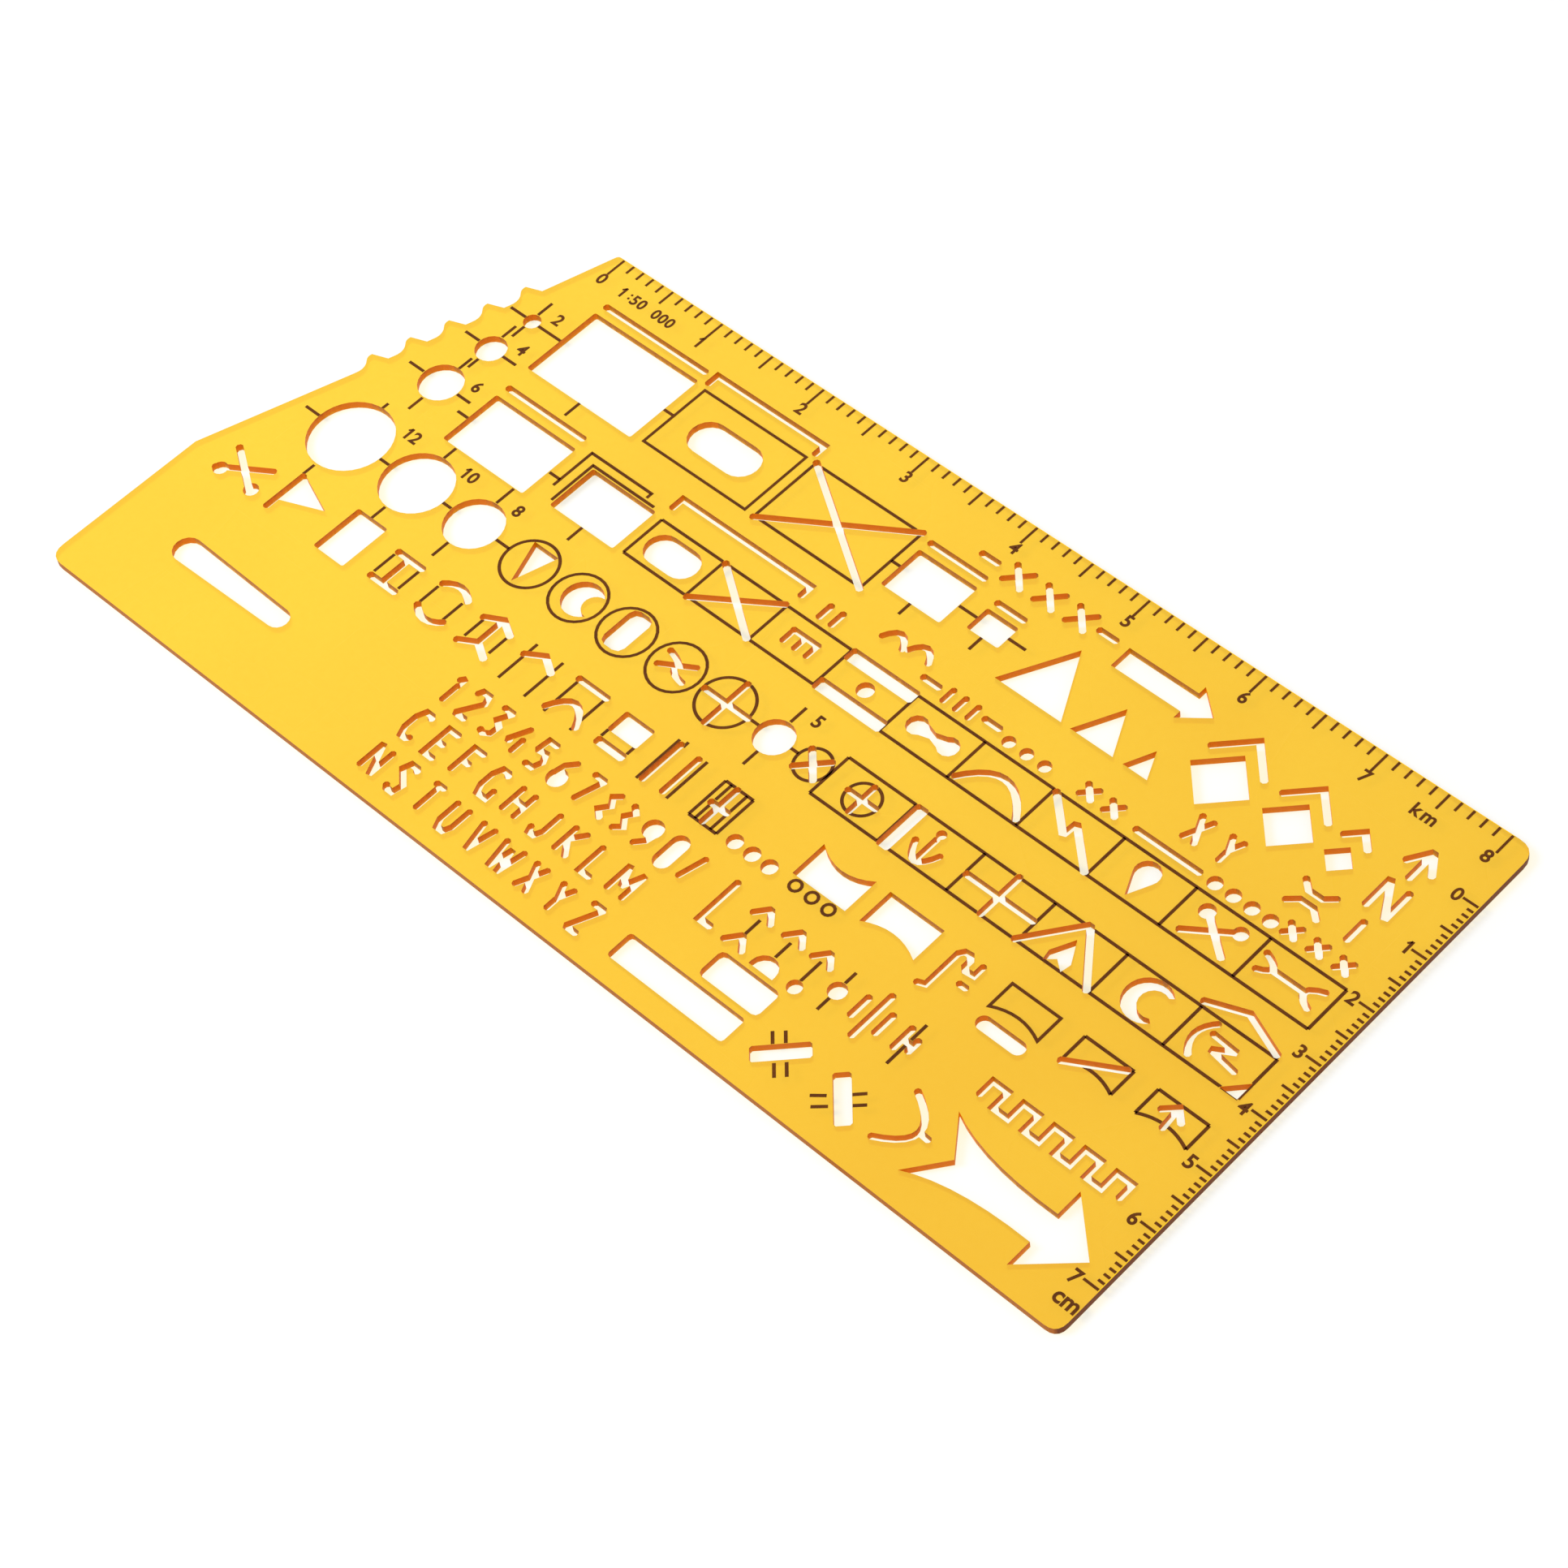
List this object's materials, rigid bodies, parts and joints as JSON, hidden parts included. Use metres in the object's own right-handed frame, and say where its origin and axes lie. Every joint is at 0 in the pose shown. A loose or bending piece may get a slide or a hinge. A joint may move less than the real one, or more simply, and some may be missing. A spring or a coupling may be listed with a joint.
{
  "type": "drawing template",
  "caption": "Flat transparent amber drawing template with cut-out symbols, stencil letters and digits, a toothed slanted edge and printed kilometre and centimetre scales.",
  "frame": {"origin": "middle of the sheet's length and width, on its underside", "axes": "+X along the long edge, from the slanted edge to the centimetre scale; +Y towards the kilometre scale; +Z out of the printed face"},
  "size_m": [0.1862, 0.0888, 0.0012],
  "materials": {
    "sheet": "clear amber, polished",
    "ink": "screen print"
  },
  "bodies": {
    "root": {"template_sheet": "sheet", "kilometre_scale_print": "ink", "centimetre_scale_print": "ink", "stadium_frame_print": "ink", "crescent_ring_print": "ink", "slot_ring_print": "ink", "wave_ring_print": "ink", "slot_flag_print": "ink", "dot_ring_print_1": "ink", "dot_ring_print_2": "ink", "dot_ring_print_3": "ink"}
  },
  "joints": []
}
